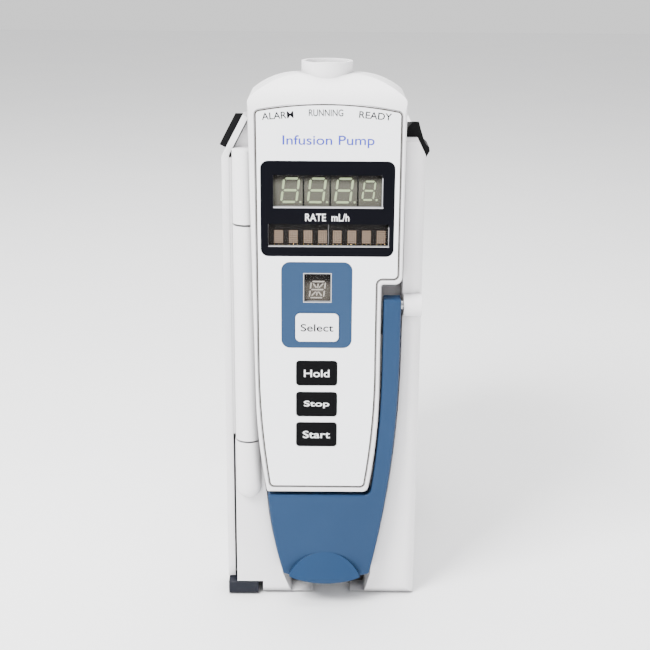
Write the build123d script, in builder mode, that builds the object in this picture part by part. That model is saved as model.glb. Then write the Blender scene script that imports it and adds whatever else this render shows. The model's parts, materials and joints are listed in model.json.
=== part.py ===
"""Large-volume infusion pump module: a wall-like box with a hinged door on its left side, a blue
latch lever on the door's right and below it, side connectors that join it to its neighbours, and a
motor-driven bank of peristaltic fingers behind the door.

Frame: millimetres, +Z up, the door faces -Y, +X is the right side as the user sees it.
The origin is the centre of the footprint, on the base face.
"""
from math import cos, pi, radians, sin
import os

from build123d import *

os.makedirs("parts", exist_ok=True)

# ---------------------------------------------------------------- driving dimensions
HALF_WIDTH = 40.0          # side walls
DOOR_FRONT = -70.0         # front face of the door
CASE_BACK = 70.0           # back face of the rear case
CASE_TOP = 206.0           # front edge of the case's roof, behind the dome
DOME_TOP = 221.7           # crest of the dome, at the foot of the neck
NECK_TOP = 226.0           # overall height
WALL = 2.6                 # case wall
SPLIT = -10.0              # parting plane of the front and rear cases
CHEEK_FRONT = -62.0        # front of the right cheek and of the lower front
PANEL_FRONT = -55.0        # mechanism panel behind the door
PANEL_BACK = -48.0
DOOR_BACK = -56.0          # back of the closed door
DOME_BACK = -50.0          # back of the door's dome, which overhangs the case
GAP = 0.8                  # visible gap between the hinge's knuckles
ROOF_START = -50.0         # the case's roof falls away behind this depth
ROOF_FALL = 0.158          # its drop per unit of depth

HINGE_X, HINGE_Y = -30.3, -61.0
BARREL_R = 5.3
PIN_R = 1.5
PIN_CLEARANCE = 0.08       # door knuckle on the hinge pin
KNUCKLE_CLEARANCE = 0.5    # fixed knuckles inside the door's reliefs
BARREL_BOTTOM, LOWER_SPLIT, UPPER_SPLIT, BARREL_TOP = 47.5, 72.2, 164.1, 193.0

TUBE_X = 1.2               # the tube runs straight down the middle of the module
TUBE_R = 2.0
GROOVE_R = TUBE_R + 0.4    # tube groove in the panel and the door plate
NECK_BORE_R = TUBE_R + 1.2
NECK_R = 10.0
NECK_RIM = 1.4             # width and depth of the step round the mouth
NECK_SPLIT_GAP = 0.2       # each half stops this far from the parting plane

LEVER_Y, LEVER_Z = -62.0, 131.0     # lever pivot, along X
LEVER_FRONT, LEVER_BACK = -69.0, -62.5
SHIELD_TOP, ARM_TOP = 50.4, 134.8
HUB_R = 3.8
LEVER_SHAFT_R = 2.0
SHAFT_CLEARANCE = 0.05     # every shaft in its bearing
BOSS_R = 4.6
LEVER_GAP = 0.9            # round the lever in its pocket

OVERLAY_FRONT, OVERLAY_BACK = -69.9, -69.4
BEZEL_WALL_BACK = -67.4    # inside of the door's front wall
DISPLAY_FRONT = -68.3
BOARD_FRONT, BOARD_BACK = -62.0, -60.6
DOOR_PLATE_FRONT = -58.0

KEY_X = -2.15              # centre of the three dark keys
KEY_HALF = (8.15, 5.15)
KEYS_Z = {"pause": 104.35, "channel_off": 91.05, "restart": 77.95}
SELECT_X, SELECT_Z = -2.1, 123.55
SELECT_HALF = (8.6, 5.85)

CAM_X, CAM_Y = TUBE_X, -31.5
CAM_R, CAM_THROW, CAM_SHAFT_R = 5.5, 0.9, 3.0
FINGERS = 6
FINGER_PITCH, FINGER_HEIGHT, FINGER_LOWEST = 8.0, 7.4, 105.0
FINGER_HALF_WIDTH = 7.4
FINGER_TIP = -53.4

GEAR_MODULE = 0.6
CAM_TEETH, PINION_TEETH = 48, 12
GEAR_Z0, GEAR_Z1 = 164.0, 168.0
MOTOR_Y = CAM_Y + GEAR_MODULE * (CAM_TEETH + PINION_TEETH) / 2


# ---------------------------------------------------------------- shared shapes
def front_plane(y):
    """Sketch plane facing the viewer at depth y, with X right and Z up."""
    return Plane.XZ.offset(-y)


def side_plane(x):
    """Sketch plane at x, with Y across and Z up."""
    return Plane.YZ.offset(x)


def block(x, y, z, mode=Mode.ADD):
    """Box between the low and high values of each span."""
    centre = [(span[0] + span[1]) / 2 for span in (x, y, z)]
    with Locations(tuple(centre)):
        Box(x[1] - x[0], y[1] - y[0], z[1] - z[0], mode=mode)


def rod(axis, at, span, r, mode=Mode.ADD):
    """Cylinder along an axis ('x', 'y' or 'z') over a span; at is its place on the other two."""
    length = span[1] - span[0]
    middle = (span[0] + span[1]) / 2
    if axis == "x":
        spot, turn = (middle, at[0], at[1]), (0, 90, 0)
    elif axis == "y":
        spot, turn = (at[0], middle, at[1]), (90, 0, 0)
    else:
        spot, turn = (at[0], at[1], middle), (0, 0, 0)
    with Locations(Location(spot, turn)):
        Cylinder(r, length, mode=mode)


def prism(plane, points, amount, mode=Mode.ADD):
    """Straight-sided prism on a plane."""
    with BuildSketch(plane) as section:
        with BuildLine():
            Polyline(*points, close=True)
        make_face()
    extrude(section.sketch, amount=amount, mode=mode)


def rounded_plate(centre, half, y_back, y_front, r, mode=Mode.ADD):
    """Upright plate with rounded corners, seen from the front."""
    with BuildSketch(front_plane(y_back)) as section:
        with Locations(centre):
            RectangleRounded(2 * half[0], 2 * half[1], r)
    extrude(section.sketch, amount=y_back - y_front, mode=mode)


def save(name, part):
    """Label a finished piece and write it to its own file."""
    part.label = name
    export_step(part, f"parts/{name}.step")


def roof_height(y):
    """Height of the case's falling roof at depth y."""
    return CASE_TOP - ROOF_FALL * (y - ROOF_START)


def cut_above_roof(lift=0.0):
    """Take away what stands higher than the roof, or higher than a copy of it raised by lift."""
    back = CASE_BACK + 5.0
    above = [
        (ROOF_START, CASE_TOP + lift), (back, roof_height(back) + lift), (back, NECK_TOP),
        (ROOF_START, NECK_TOP),
    ]
    prism(side_plane(-HALF_WIDTH - 5), above, 2 * HALF_WIDTH + 10, mode=Mode.SUBTRACT)


def case_hollow(profile, y_back, y_front):
    """Space inside a case, under the thickness of its roof."""
    with BuildPart(mode=Mode.PRIVATE) as hollow:
        prism(front_plane(y_back), profile, y_back - y_front)
        cut_above_roof(-WALL)
    return hollow.part


def round_corners(corners):
    """Round the corners of the sketch in hand that lie nearest the given X, Z, each by its radius."""
    for x, z, r in corners:
        fillet(vertices().sort_by_distance(Vector(x, z))[0], radius=r)


def door_outline(grow=0.0):
    """Front outline of the door: upright on the left, notched for the lever on the right."""
    with BuildLine() as outline:
        taper_left = ThreePointArc((-22.4, 52.2), (-25.2, 71.0), (-26.7, 95.0))
        left = ThreePointArc(taper_left @ 1, (-27.8, 150.0), (-29.0, 213.2))
        dome_left = ThreePointArc(left @ 1, (-20.5, 218.9), (-8.6, DOME_TOP))
        crest = Line(dome_left @ 1, (11.0, DOME_TOP))
        dome_right = ThreePointArc(crest @ 1, (22.6, 219.2), (31.6, 213.4))
        right = Polyline(dome_right @ 1, (31.3, 141.3), (23.1, 141.3), (23.1, 98.0))
        taper_right = ThreePointArc(right @ 1, (22.0, 74.0), (19.0, 52.2))
        Line(taper_right @ 1, taper_left @ 0)
    make_face(outline.edges())
    round_corners([
        (-29.0, 213.2, 2.4), (31.6, 213.4, 2.4), (31.3, 141.3, 3.0), (23.1, 141.3, 1.0),
        (19.0, 52.2, 2.6), (-22.4, 52.2, 0.6), (-8.6, DOME_TOP, 4.0), (11.0, DOME_TOP, 4.0),
    ])
    if grow:
        offset(amount=grow)


def label_outline(shrink=0.0):
    """Outline of the recessed label on the door's face."""
    with BuildLine() as outline:
        taper_left = ThreePointArc((-21.2, 54.6), (-23.9, 76.0), (-25.6, 112.0))
        left = Line(taper_left @ 1, (-26.2, 209.2))
        arch = ThreePointArc(left @ 1, (1.8, 211.9), (29.8, 208.9))
        right = Polyline(arch @ 1, (29.8, 143.4), (21.4, 143.4), (21.4, 110.0))
        taper_right = ThreePointArc(right @ 1, (20.5, 80.0), (17.5, 54.6))
        Line(taper_right @ 1, taper_left @ 0)
    make_face(outline.edges())
    round_corners([
        (-26.2, 209.2, 1.8), (29.8, 208.9, 1.8), (29.8, 143.4, 2.0), (21.4, 143.4, 2.2),
        (17.5, 54.6, 2.0), (-21.2, 54.6, 2.0),
    ])
    if shrink:
        offset(amount=-shrink)


def lever_outline(grow=0.0):
    """Front outline of the latch lever: a wide shield below and a slim arm up its right side."""
    with BuildLine() as outline:
        shield_left = ThreePointArc((-15.9, 13.9), (-19.7, 30.0), (-22.2, SHIELD_TOP))
        shield_top = Line(shield_left @ 1, (20.2, SHIELD_TOP))
        inner = ThreePointArc(shield_top @ 1, (22.9, 76.0), (24.1, 112.0))
        arm_top = Polyline(inner @ 1, (24.1, ARM_TOP), (31.2, ARM_TOP), (31.1, 112.0))
        outer = ThreePointArc(arm_top @ 1, (28.5, 63.5), (20.4, 14.0))
        ThreePointArc(outer @ 1, (2.5, 11.3), shield_left @ 0)
    make_face(outline.edges())
    round_corners([
        (20.2, SHIELD_TOP, 3.0), (-22.2, SHIELD_TOP, 0.8), (24.1, ARM_TOP, 0.6), (31.2, ARM_TOP, 1.0),
        (20.4, 14.0, 1.0), (-15.9, 13.9, 1.0),
    ])
    if grow:
        offset(amount=grow)


def gear_outline(teeth):
    """Spur gear outline with straight-flanked teeth, a little slack and a gap at phase 0."""
    pitch_r = GEAR_MODULE * teeth / 2
    root_r, tip_r = pitch_r - 1.2 * GEAR_MODULE, pitch_r + 0.85 * GEAR_MODULE
    points = []
    for tooth in range(teeth):
        middle = (tooth + 0.5) * 2 * pi / teeth
        for share, r in ((-0.34, root_r), (-0.11, tip_r), (0.11, tip_r), (0.34, root_r)):
            angle = middle + share * 2 * pi / teeth
            points.append((r * cos(angle), r * sin(angle)))
    return points


def finger_centre(index):
    return FINGER_LOWEST + index * FINGER_PITCH


# ---------------------------------------------------------------- rear case
CHAMFER_LOW, CHAMFER_HIGH = (-HALF_WIDTH, 189.5), (-31.3, CASE_TOP)
REAR_PROFILE = [
    (-HALF_WIDTH, 0), CHAMFER_LOW, CHAMFER_HIGH, (29.5, CASE_TOP), (31.0, 196.5), (37.0, 196.5),
    (HALF_WIDTH, 190.5), (HALF_WIDTH, 0),
]
REAR_INSIDE = [
    (-37.4, WALL), (-37.4, 188.8), (-29.8, 203.4), (27.4, 203.4), (28.8, 193.9), (35.9, 193.9),
    (37.4, 190.9), (37.4, WALL),
]
CASE_SCREWS = [(-29.6, 14.0), (30.0, 14.0), (-29.6, 178.0), (20.0, 178.0)]
THUMB_NOTCH_TOP = 6.6
LATCH_SLOT_Y = (10.0, 26.0)
LATCH_BAR_Z = (2.9, 5.0)
VENTS, VENT_PITCH, VENT_HEIGHT, VENT_LOWEST, VENT_HALF = 6, 6.0, 2.4, 30.0, 14.0
PLATE_Z, PLATE_HALF, PLATE_SEAT = 118.0, (24.6, 29.6), 0.8
SCREW_HEAD_DEPTH = 4.0

with BuildPart() as rear_case:
    prism(front_plane(CASE_BACK), REAR_PROFILE, CASE_BACK - SPLIT)
    cut_above_roof()
    back_edges = rear_case.faces().sort_by(Axis.Y)[-1].edges()
    fillet(back_edges, radius=3.0)
    add(case_hollow(REAR_INSIDE, CASE_BACK - WALL, SPLIT), mode=Mode.SUBTRACT)
    # Long left wall that reaches forward beside the front case.
    strip = [
        (-HALF_WIDTH, 0), CHAMFER_LOW, (-31.45, 205.7), (-29.3, 204.7), (-37.0, 190.1), (-37.0, 0),
    ]
    prism(front_plane(SPLIT), strip, 47.0)
    cut_above_roof()
    # Notch for the release latch's thumb block, at the foot of the strip.
    block((-41.0, -36.0), (-58.0, -48.0), (-1.0, THUMB_NOTCH_TOP), mode=Mode.SUBTRACT)
    # Slot where the latch hook reaches out, and the slot that a neighbour's hook enters.
    block((-41.0, -37.0), LATCH_SLOT_Y, (2.6, 5.7), mode=Mode.SUBTRACT)
    block((37.0, 41.0), (7.0, 29.0), (2.6, 9.0), mode=Mode.SUBTRACT)
    # Screw towers inside the back wall, with clearance holes from behind.
    for spot in CASE_SCREWS:
        rod("y", spot, (SPLIT + 1.0, CASE_BACK - WALL), 4.0)
        rod("y", spot, (SPLIT, CASE_BACK + 1.0), 1.75, mode=Mode.SUBTRACT)
        rod("y", spot, (CASE_BACK - SCREW_HEAD_DEPTH, CASE_BACK + 1.0), 3.4, mode=Mode.SUBTRACT)
    # Rib that the release latch's spring pushes against.
    block((-22.0, -20.0), (-4.0, 4.0), (WALL, 7.0))
    # Vent slots low in the back wall.
    for row in range(VENTS):
        low = VENT_LOWEST + VENT_PITCH * row
        block((-VENT_HALF, VENT_HALF), (66.0, 71.0), (low, low + VENT_HEIGHT), mode=Mode.SUBTRACT)
    # Shallow field for the rating plate.
    block(
        (-PLATE_HALF[0] - 0.4, PLATE_HALF[0] + 0.4), (CASE_BACK - PLATE_SEAT, CASE_BACK + 1.0),
        (PLATE_Z - PLATE_HALF[1] - 0.4, PLATE_Z + PLATE_HALF[1] + 0.4), mode=Mode.SUBTRACT,
    )
save("rear_case", rear_case.part)

with BuildPart() as rating_plate:
    rounded_plate((0, PLATE_Z), PLATE_HALF, CASE_BACK - 0.2, CASE_BACK - PLATE_SEAT, 1.5)
save("rating_plate", rating_plate.part)

# ---------------------------------------------------------------- front case
FRONT_PROFILE = [
    (-36.4, 0), (-36.4, 190.4), (-28.1, CASE_TOP), (29.5, CASE_TOP), (31.0, 196.5), (37.0, 196.5),
    (HALF_WIDTH, 190.5), (HALF_WIDTH, 0),
]
FRONT_INSIDE = [
    (-33.8, WALL), (-33.8, 189.8), (-26.6, 203.4), (27.4, 203.4), (28.8, 193.9), (35.9, 193.9),
    (37.4, 190.9), (37.4, WALL),
]
CHEEK_INNER_X = 32.0
UPPER_HOOK_X, LOWER_HOOK_X = (25.4, 28.0), (15.4, 18.0)
UPPER_HOOK_Z, LOWER_HOOK_Z = (176.0, 184.0), (76.0, 84.0)
HOOK_TRAVEL = 12.0
LEVER_CRANK = 8.5
CHEEK_ROOM_X = (34.2, 37.4)            # hollow in the cheek for the latch bar and the crank
MECHANISM_SCREW_X, MECHANISM_SCREW_Z = (CAM_X - 12.0, CAM_X + 12.0), (96.0, 158.0)
SENSORS_Z = {"upstream_sensor": 158.5, "downstream_sensor": 90.5}
SENSOR_R = 3.5
SEAT_HALF, SEAT_SLACK = 8.2, 0.2       # half width of the air sensor and clamp holder, and their play
AIR_SENSOR_Z, CLAMP_HOLDER_Z = (67.2, 78.8), (54.6, 63.8)

with BuildPart() as front_case:
    prism(front_plane(SPLIT), FRONT_PROFILE, SPLIT - CHEEK_FRONT)
    face_edges = front_case.faces().sort_by(Axis.Y)[0].edges()
    bottom_edge = face_edges.sort_by(Axis.Z)[0]
    right_edge = face_edges.filter_by(Axis.Z).sort_by(Axis.X)[-1]
    fillet([bottom_edge, right_edge], radius=5.0)
    cut_above_roof()
    # Shadow gap between the lower front and the rear case's strip.
    block((-37.0, -35.8), (-64.0, PANEL_BACK - 2.0), (-1.0, LOWER_SPLIT), mode=Mode.SUBTRACT)
    # Pocket that the closed door sits in.
    door_pocket = [
        (-41.0, LOWER_SPLIT), (-25.4, LOWER_SPLIT), (-24.6, 62.0), (-23.2, SHIELD_TOP - 1.5),
        (27.5, SHIELD_TOP - 1.5), (29.9, 73.0), (31.6, 108.6), (CHEEK_INNER_X, 136.0),
        (CHEEK_INNER_X, 215.0), (-41.0, 215.0),
    ]
    prism(front_plane(PANEL_FRONT), door_pocket, 12.0, mode=Mode.SUBTRACT)
    # Pocket that the shield of the lever closes into.
    with BuildSketch(front_plane(LEVER_BACK + 5.0)):
        lever_outline(grow=LEVER_GAP)
    extrude(amount=8.0, mode=Mode.SUBTRACT)
    # Deep pocket round the lever's hub.
    block((23.4, CHEEK_INNER_X), (-64.0, -50.4), (116.0, 143.2), mode=Mode.SUBTRACT)
    # Finger recess under the lever, with the tube's way out through an arch in its lip.
    recess = [(-17.0, 38.0), (-16.4, 11.0), (-12.7, 1.2), (18.6, 1.2), (21.2, 11.0), (21.6, 38.0)]
    prism(front_plane(-51.0), recess, 12.0, mode=Mode.SUBTRACT)
    with BuildSketch(front_plane(-51.0)):
        with BuildLine():
            arch = ThreePointArc((-6.8, -0.5), (3.6, 2.6), (15.9, -0.5))
            Line(arch @ 1, arch @ 0)
        make_face()
    extrude(amount=12.0, mode=Mode.SUBTRACT)
    # Hollow behind the panel and inside the cheek.
    add(case_hollow(FRONT_INSIDE, SPLIT, PANEL_BACK), mode=Mode.SUBTRACT)
    block(CHEEK_ROOM_X, (-57.4, PANEL_BACK + 1), (51.0, 188.0), mode=Mode.SUBTRACT)
    # Groove for the tube, open to the front, and its slanted lead-in at the top.
    rod("z", (TUBE_X, PANEL_FRONT), (SHIELD_TOP, CASE_TOP + 1), GROOVE_R, mode=Mode.SUBTRACT)
    lead_in = [
        (-56.0, 190.0), (-55.0, 190.0), (DOME_BACK + 1.6, 201.0), (DOME_BACK + 1.6, 207.0),
        (-56.0, 207.0),
    ]
    prism(side_plane(TUBE_X - TUBE_R - 0.6), lead_in, 2 * TUBE_R + 1.2, mode=Mode.SUBTRACT)
    block(
        (TUBE_X - GROOVE_R, TUBE_X + GROOVE_R), (-64.0, -54.0), (34.0, SHIELD_TOP + 2),
        mode=Mode.SUBTRACT,
    )
    # Windows in the panel: fingers, membrane seat, sensors, clamp and latch hooks.
    finger_top = finger_centre(FINGERS - 1) + FINGER_HEIGHT / 2
    finger_bottom = finger_centre(0) - FINGER_HEIGHT / 2
    block(
        (TUBE_X - FINGER_HALF_WIDTH - 0.3, TUBE_X + FINGER_HALF_WIDTH + 0.3), (-56.0, -47.0),
        (finger_bottom - 0.6, finger_top + 0.6), mode=Mode.SUBTRACT,
    )
    block(
        (TUBE_X - 10.4, TUBE_X + 10.4), (-56.0, PANEL_FRONT + 0.6), (finger_bottom - 3.4, finger_top + 3.4),
        mode=Mode.SUBTRACT,
    )
    for z in SENSORS_Z.values():
        rod("y", (TUBE_X, z), (-56.0, -47.0), SENSOR_R + 0.1, mode=Mode.SUBTRACT)
    for low, high in (AIR_SENSOR_Z, CLAMP_HOLDER_Z):
        seat = SEAT_HALF + SEAT_SLACK
        block(
            (TUBE_X - seat, TUBE_X + seat), (-56.0, -47.0), (low - SEAT_SLACK, high + SEAT_SLACK),
            mode=Mode.SUBTRACT,
        )
    for x_span, z_span in ((UPPER_HOOK_X, UPPER_HOOK_Z), (LOWER_HOOK_X, LOWER_HOOK_Z)):
        block(
            (x_span[0] - 0.5, x_span[1] + 0.5), (-56.0, -47.0),
            (z_span[0] - HOOK_TRAVEL - 0.7, z_span[1] + 0.7), mode=Mode.SUBTRACT,
        )
    # Fixed hinge knuckles and the webs that carry them.
    for low, high in ((BARREL_BOTTOM, LOWER_SPLIT), (UPPER_SPLIT, BARREL_TOP)):
        block((-33.6, -28.8), (HINGE_Y, PANEL_FRONT + 0.5), (low + 3.0, high))
    with BuildSketch(Plane.XY.offset(UPPER_SPLIT)):
        with Locations((HINGE_X, HINGE_Y)):
            Circle(BARREL_R)
    extrude(amount=BARREL_TOP - UPPER_SPLIT)
    with BuildSketch(Plane.XY.offset(BARREL_BOTTOM + 4.0)):
        with Locations((HINGE_X, HINGE_Y)):
            Circle(BARREL_R)
    extrude(amount=LOWER_SPLIT - BARREL_BOTTOM - 4.0)
    with Locations((HINGE_X, HINGE_Y, BARREL_BOTTOM + 4.0)):
        Sphere(BARREL_R)
    for low, high in ((BARREL_BOTTOM + 5.0, LOWER_SPLIT), (UPPER_SPLIT, BARREL_TOP - 5.0)):
        rod("z", (HINGE_X, HINGE_Y), (low, high), PIN_R, mode=Mode.SUBTRACT)
    # Filler between the rear case's strip and the hinge barrel.
    block((-36.9, -35.9), (-57.5, PANEL_FRONT + 0.5), (LOWER_SPLIT + GAP, 189.0))
    # Boss on the cheek that carries the lever's shaft, with a slot inside for its crank.
    rod("x", (LEVER_Y, LEVER_Z), (CHEEK_INNER_X + 0.4, HALF_WIDTH - 0.4), BOSS_R)
    bearing_r = LEVER_SHAFT_R + SHAFT_CLEARANCE
    rod("x", (LEVER_Y, LEVER_Z), (CHEEK_INNER_X - 1, 38.0), bearing_r, mode=Mode.SUBTRACT)
    crank_room = [
        (LEVER_Y - 0.6, LEVER_Z - 3.4), (LEVER_Y - 0.6, LEVER_Z + 3.4), (-59.0, LEVER_Z + 5.4),
        (-56.5, LEVER_Z + 9.0), (PANEL_BACK, LEVER_Z + 12.0), (PANEL_BACK, LEVER_Z - 12.0),
        (-56.5, LEVER_Z - 9.0), (-59.0, LEVER_Z - 5.4),
    ]
    prism(side_plane(CHEEK_ROOM_X[0]), crank_room, CHEEK_ROOM_X[1] - CHEEK_ROOM_X[0], mode=Mode.SUBTRACT)
    # Notch for the release latch's thumb block and the way through for its bar.
    block((-38.0, -24.8), (-64.0, -46.0), (-1.0, THUMB_NOTCH_TOP), mode=Mode.SUBTRACT)
    # Blind holes for the screws that hold the mechanism.
    for x in MECHANISM_SCREW_X:
        for z in MECHANISM_SCREW_Z:
            rod("y", (x, z), (-51.2, PANEL_BACK + 1), 1.0, mode=Mode.SUBTRACT)
    # Pillars that the case screws bite into.
    for spot in CASE_SCREWS:
        rod("y", spot, (-50.0, SPLIT), 3.6)
        rod("y", spot, (-44.0, SPLIT + 1), 1.4, mode=Mode.SUBTRACT)
save("front_case", front_case.part)


# ---------------------------------------------------------------- side connectors
CONNECTOR_Y = (-50.0, -34.0)
CHAMFER_RUN = Vector(CHAMFER_HIGH[0] - CHAMFER_LOW[0], 0, CHAMFER_HIGH[1] - CHAMFER_LOW[1]).normalized()
LEFT_NORMAL = Vector(-CHAMFER_RUN.Z, 0, CHAMFER_RUN.X)
RIGHT_NORMAL = Vector(0.944, 0, 0.33).normalized()
RIGHT_FACE = Vector(39.1, 0, 197.05)
SOCKET_LENGTH, LEFT_SOCKET_WIDTH, RIGHT_SOCKET_WIDTH = 12.0, 6.4, 2.6
CONTACTS, CONTACT_PITCH = 4, 2.5
SLAB_RUN, SLAB_THICK = (2.6, 18.2), 2.7


def along_chamfer(run, out):
    """Point on the left chamfer's line, run along it and out from it, as X and Z."""
    point = Vector(CHAMFER_LOW[0], 0, CHAMFER_LOW[1]) + CHAMFER_RUN * run + LEFT_NORMAL * out
    return (point.X, point.Z)


connector_middle = sum(CONNECTOR_Y) / 2
left_face = Vector(CHAMFER_LOW[0], 0, CHAMFER_LOW[1]) + CHAMFER_RUN * 9.0 + LEFT_NORMAL * SLAB_THICK
left_socket = Plane(
    origin=left_face + Vector(0, connector_middle, 0), x_dir=(0, 1, 0), z_dir=LEFT_NORMAL
)
right_socket = Plane(
    origin=RIGHT_FACE + Vector(0, connector_middle, 0), x_dir=(0, 1, 0), z_dir=RIGHT_NORMAL
)

with BuildPart() as left_connector:
    slab = [along_chamfer(run, 0) for run in SLAB_RUN]
    slab += [along_chamfer(run, SLAB_THICK) for run in reversed(SLAB_RUN)]
    prism(front_plane(CONNECTOR_Y[1]), slab, CONNECTOR_Y[1] - CONNECTOR_Y[0])
    cut_above_roof(-0.6)
    with BuildSketch(left_socket):
        RectangleRounded(SOCKET_LENGTH, LEFT_SOCKET_WIDTH, 1.5)
    extrude(amount=-1.8, mode=Mode.SUBTRACT)
save("left_connector", left_connector.part)

with BuildPart() as right_connector:
    profile = [
        (31.2, 196.5), (37.0, 196.5), (HALF_WIDTH, 190.5), (HALF_WIDTH, 187.2), (42.1, 190.9),
        (41.9, 192.3), (40.6, 193.4), (39.8, 195.0), (38.2, 199.9), (37.6, 202.2), (35.3, 202.6),
        (32.6, 199.6), (31.2, 198.6),
    ]
    prism(front_plane(CONNECTOR_Y[1]), profile, CONNECTOR_Y[1] - CONNECTOR_Y[0])
    cut_above_roof(-3.4)
    with BuildSketch(right_socket):
        RectangleRounded(SOCKET_LENGTH, RIGHT_SOCKET_WIDTH, 0.8)
    extrude(amount=-1.2, mode=Mode.SUBTRACT)
save("right_connector", right_connector.part)

with BuildPart() as connector_contacts:
    for socket, depth, height in ((left_socket, 1.8, 1.4), (right_socket, 1.2, 1.0)):
        with BuildSketch(socket.offset(-depth)):
            with GridLocations(CONTACT_PITCH, 1, CONTACTS, 1):
                Rectangle(1.0, 1.4)
        extrude(amount=height)
save("connector_contacts", connector_contacts.part)

# ---------------------------------------------------------------- hinge
with BuildPart() as door_hinge_pin:
    rod("z", (HINGE_X, HINGE_Y), (BARREL_BOTTOM + 5.2, BARREL_TOP - 5.2), PIN_R)
    chamfer(door_hinge_pin.edges().filter_by(GeomType.CIRCLE), length=0.4)
save("door_hinge_pin", door_hinge_pin.part)

# ---------------------------------------------------------------- door
RATE_WINDOW = ((-19.3, 22.7), (172.3, 184.7))
MESSAGE_WINDOW = ((-21.3, 25.5), (156.7, 165.5))
CHANNEL_WINDOW = ((-7.3, 3.2), (134.2, 145.6))
MASK_CENTRE, MASK_HALF, MASK_CORNER = (1.7, 171.4), (25.9, 18.8), 3.0
SELECT_PANEL_CENTRE, SELECT_PANEL_HALF = (-2.3, 132.7), (14.0, 17.7)
DOOR_POSTS = ((-18.4, 196.0), (24.6, 196.0), (-18.8, 90.0), (16.5, 92.0))
DOOR_CAVITY_LEFT, DOOR_CAVITY_TOP = -22.4, 204.5
PLATEN_HALF_WIDTH, PLATEN_Z = 8.4, (98.0, 152.0)
KEY_SLACK = 0.18
RIM, PLATE_INSET = 2.0, 2.15   # wall of the door's rim, and the back plate's edge inside it
POST_R, DOOR_SCREW_R = 2.6, 1.0


def window_block(window, y, grow=0.0, mode=Mode.SUBTRACT):
    (x0, x1), (z0, z1) = window
    block((x0 - grow, x1 + grow), y, (z0 - grow, z1 + grow), mode=mode)


def key_places():
    """Centre, half size and corner radius of each key."""
    places = {"key_" + name: ((KEY_X, z), KEY_HALF, 1.2) for name, z in KEYS_Z.items()}
    places["key_channel_select"] = ((SELECT_X, SELECT_Z), SELECT_HALF, 2.0)
    return places


def key_holes(y_back, y_front):
    for centre, half, r in key_places().values():
        grown = (half[0] + KEY_SLACK, half[1] + KEY_SLACK)
        rounded_plate(centre, grown, y_back, y_front, r + KEY_SLACK, mode=Mode.SUBTRACT)


def cavity_outline(inset):
    """Inside of the door's rim, kept off the hinge and below the dome."""
    door_outline(grow=-inset)
    with Locations((DOOR_CAVITY_LEFT - 20 - RIM + inset, 130)):
        Rectangle(40, 240, mode=Mode.SUBTRACT)
    with Locations((0, DOOR_CAVITY_TOP + 20 + RIM - inset)):
        Rectangle(90, 40, mode=Mode.SUBTRACT)


with BuildPart() as door_bezel:
    with BuildSketch(front_plane(DOME_BACK - NECK_SPLIT_GAP)):
        door_outline()
    extrude(amount=DOME_BACK - NECK_SPLIT_GAP - DOOR_FRONT)
    front_face = door_bezel.faces().sort_by(Axis.Y)[0]
    fillet(front_face.outer_wire().edges(), radius=1.0)
    # Only the dome reaches back over the case.
    block((-42, 42), (DOOR_BACK, DOME_BACK + 1), (40, CASE_TOP + 0.6), mode=Mode.SUBTRACT)
    # The dome's front curves back towards the neck.
    with BuildSketch(side_plane(-45)):
        with BuildLine():
            brow = Spline(
                (DOOR_FRONT, 208.0), (-68.9, 212.9), (-65.4, 217.1), (-60.0, 220.2), (-50.0, DOME_TOP + 0.1),
                tangents=((0, 1), (1, 0)),
            )
            Polyline(brow @ 1, (-49.0, 232.0), (-76.0, 232.0), (-76.0, 208.0), brow @ 0)
        make_face()
    extrude(amount=90, mode=Mode.SUBTRACT)
    # Front half of the neck that the tube drops into.
    with BuildSketch(Plane.XY.offset(213.0)):
        with Locations((TUBE_X, DOME_BACK)):
            Circle(NECK_R)
        with Locations((TUBE_X, DOME_BACK + 10 - NECK_SPLIT_GAP)):
            Rectangle(30, 20, mode=Mode.SUBTRACT)
    extrude(amount=NECK_TOP - 213.0)
    rod("z", (TUBE_X, DOME_BACK), (NECK_TOP - NECK_RIM, NECK_TOP + 1), NECK_R - NECK_RIM, mode=Mode.SUBTRACT)
    rod("z", (TUBE_X, DOME_BACK), (200.0, NECK_TOP + 1), NECK_BORE_R, mode=Mode.SUBTRACT)
    # Hollow, with posts for the door plate's screws.
    with BuildSketch(front_plane(DOOR_BACK + 0.1)):
        cavity_outline(RIM)
    extrude(amount=DOOR_BACK + 0.1 - BEZEL_WALL_BACK, mode=Mode.SUBTRACT)
    for spot in DOOR_POSTS:
        rod("y", spot, (BEZEL_WALL_BACK - 0.5, DOOR_PLATE_FRONT - 0.05), POST_R)
        rod("y", spot, (-66.0, DOOR_PLATE_FRONT), DOOR_SCREW_R, mode=Mode.SUBTRACT)
    # Seat for the label, and openings for the displays and keys.
    with BuildSketch(front_plane(OVERLAY_BACK)):
        label_outline(shrink=-0.3)
    extrude(amount=2, mode=Mode.SUBTRACT)
    for window in (RATE_WINDOW, MESSAGE_WINDOW, CHANNEL_WINDOW):
        window_block(window, (-71.0, -66.0))
    key_holes(-66.0, -71.0)
    # Middle knuckle, and room for the fixed ones above and below it.
    rod("z", (HINGE_X, HINGE_Y), (LOWER_SPLIT + GAP, UPPER_SPLIT - GAP), BARREL_R)
    for low, high in ((LOWER_SPLIT - 30, LOWER_SPLIT + 0.2), (UPPER_SPLIT - 0.2, BARREL_TOP + 0.6)):
        rod("z", (HINGE_X, HINGE_Y), (low, high), BARREL_R + KNUCKLE_CLEARANCE, mode=Mode.SUBTRACT)
    rod("z", (HINGE_X, HINGE_Y), (40, 200), PIN_R + PIN_CLEARANCE, mode=Mode.SUBTRACT)
save("door_bezel", door_bezel.part)

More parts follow.
